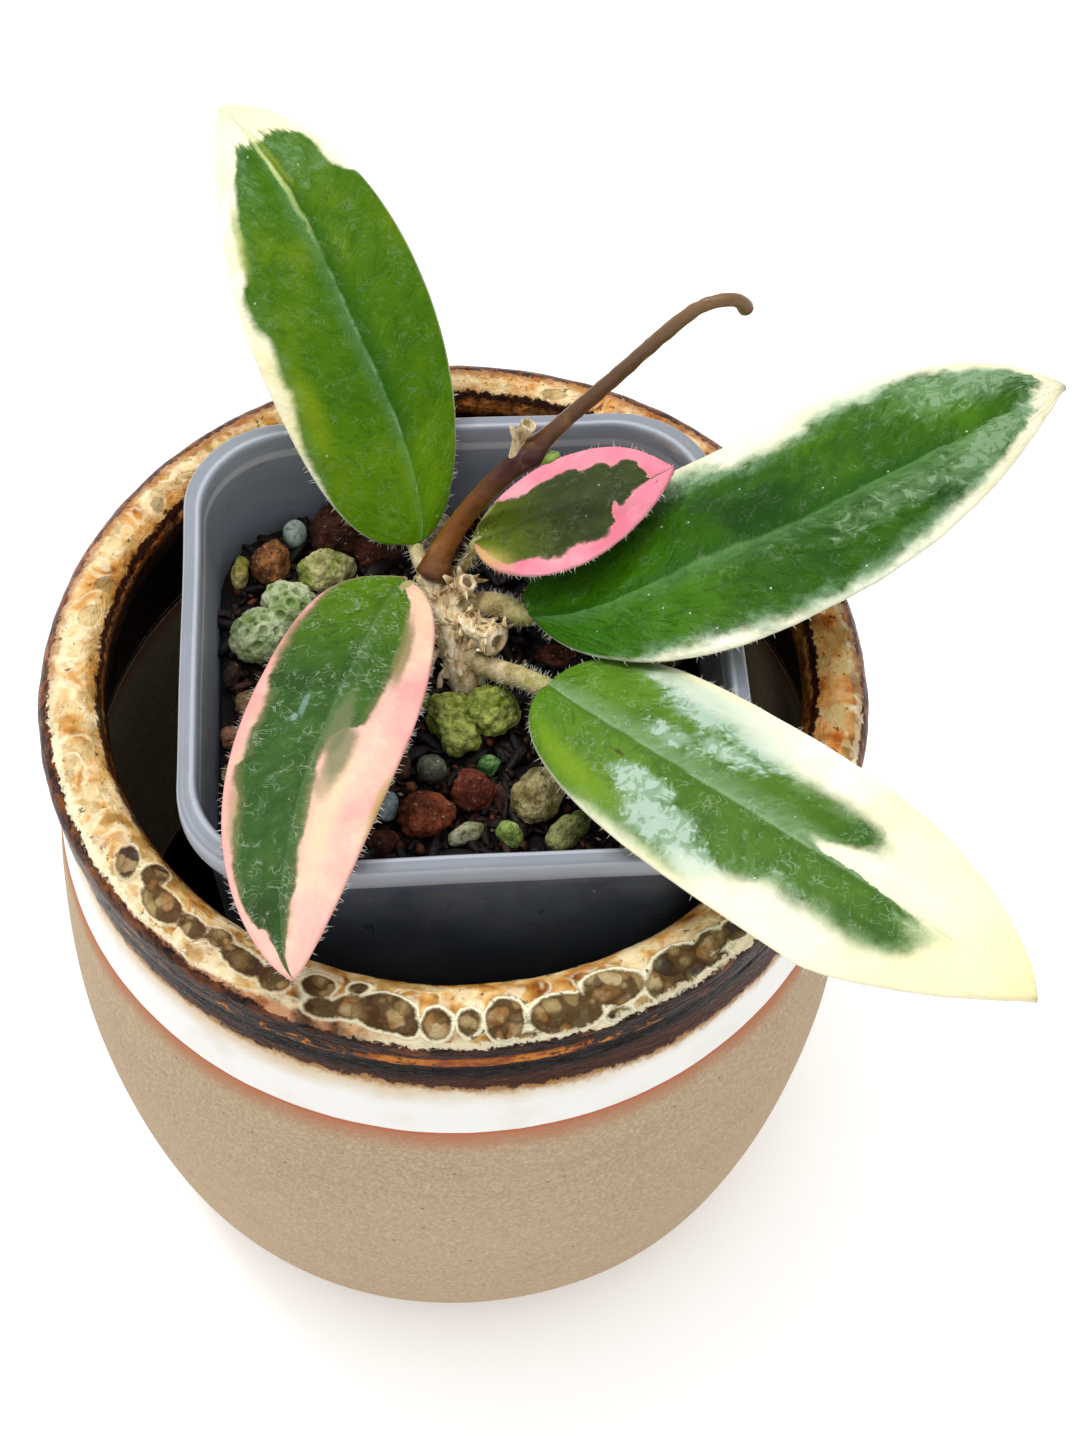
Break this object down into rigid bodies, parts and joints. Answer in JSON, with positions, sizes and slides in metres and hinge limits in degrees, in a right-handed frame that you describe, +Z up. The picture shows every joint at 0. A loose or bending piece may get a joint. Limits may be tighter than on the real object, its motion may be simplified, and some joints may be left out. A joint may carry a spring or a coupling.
{
  "type": "potted variegated hoya in a stoneware planter",
  "caption": "Young hoya with long cream, pink and green leaves, growing in a square translucent nursery pot that stands in a round stoneware planter with a rolled rim.",
  "frame": {"origin": "middle of the planter's flat foot, on the surface that it stands on", "axes": "+Z up, -Y towards the viewer of the picture, +X to the viewer's right"},
  "size_m": [0.1565, 0.1434, 0.1751],
  "materials": {
    "bark_dark": "dark bark chip",
    "bark_flat": "dark bark chip",
    "bark_left": "dark bark chip",
    "bark_right": "dark bark chip",
    "chip_green": "small mineral chip",
    "chip_left_high": "small mineral chip",
    "chip_left_low": "small mineral chip",
    "chip_left_mid": "small mineral chip",
    "lava_back": "rough porous red-brown lava",
    "lava_center": "rough porous red-brown lava",
    "lava_front": "rough porous red-brown lava",
    "lava_hidden": "rough porous red-brown lava",
    "lava_low": "rough porous red-brown lava",
    "lava_mid": "rough porous red-brown lava",
    "lava_right": "rough porous red-brown lava",
    "lava_tall": "rough porous red-brown lava",
    "leaf_back_left": "green blade with cream tip and left margin, soft gloss",
    "leaf_front_left": "dark green blade with a pink and peach right side",
    "leaf_front_right": "green and silver blade with a cream outer half",
    "leaf_right": "deep green blade, silver mottling, thin cream margins",
    "leaf_small": "dark olive blade with a pink margin",
    "lump_tan": "tan porous lump",
    "nursery_pot": "translucent frosted plastic, blue-grey",
    "old_stem": "tan woody vine with papery scales and scars",
    "pebble_blue": "worn pebble",
    "pebble_grey": "worn pebble",
    "pebble_knob": "worn pebble",
    "pebble_white": "worn pebble",
    "planter": "stoneware: bare tan clay below, white band, brown lava glaze on the rim",
    "potting_mix": "damp dark bark and lava fines",
    "pumice_corner": "rough porous pumice with algae",
    "pumice_green": "rough porous pumice with algae",
    "pumice_hidden": "rough porous pumice with algae",
    "pumice_knob": "rough porous pumice with algae",
    "pumice_long": "rough porous pumice with algae",
    "pumice_olive": "rough porous pumice with algae",
    "pumice_round": "rough porous pumice with algae",
    "pumice_tan": "rough porous pumice with algae",
    "pumice_yellow": "rough porous pumice with algae",
    "shard_pale": "pale mineral shard",
    "young_shoot": "smooth brown shoot, purple at the node"
  },
  "bodies": {
    "root": {"bark_dark": "bark_dark", "bark_flat": "bark_flat", "bark_left": "bark_left", "bark_right": "bark_right", "chip_green": "chip_green", "chip_left_high": "chip_left_high", "chip_left_low": "chip_left_low", "chip_left_mid": "chip_left_mid", "lava_back": "lava_back", "lava_center": "lava_center", "lava_front": "lava_front", "lava_hidden": "lava_hidden", "lava_low": "lava_low", "lava_mid": "lava_mid", "lava_right": "lava_right", "lava_tall": "lava_tall", "leaf_back_left": "leaf_back_left", "leaf_front_left": "leaf_front_left", "leaf_front_right": "leaf_front_right", "leaf_right": "leaf_right", "leaf_small": "leaf_small", "lump_tan": "lump_tan", "nursery_pot": "nursery_pot", "old_stem": "old_stem", "pebble_blue": "pebble_blue", "pebble_grey": "pebble_grey", "pebble_knob": "pebble_knob", "pebble_white": "pebble_white", "planter": "planter", "potting_mix": "potting_mix", "pumice_corner": "pumice_corner", "pumice_green": "pumice_green", "pumice_hidden": "pumice_hidden", "pumice_knob": "pumice_knob", "pumice_long": "pumice_long", "pumice_olive": "pumice_olive", "pumice_round": "pumice_round", "pumice_tan": "pumice_tan", "pumice_yellow": "pumice_yellow", "shard_pale": "shard_pale", "young_shoot": "young_shoot"}
  },
  "joints": []
}
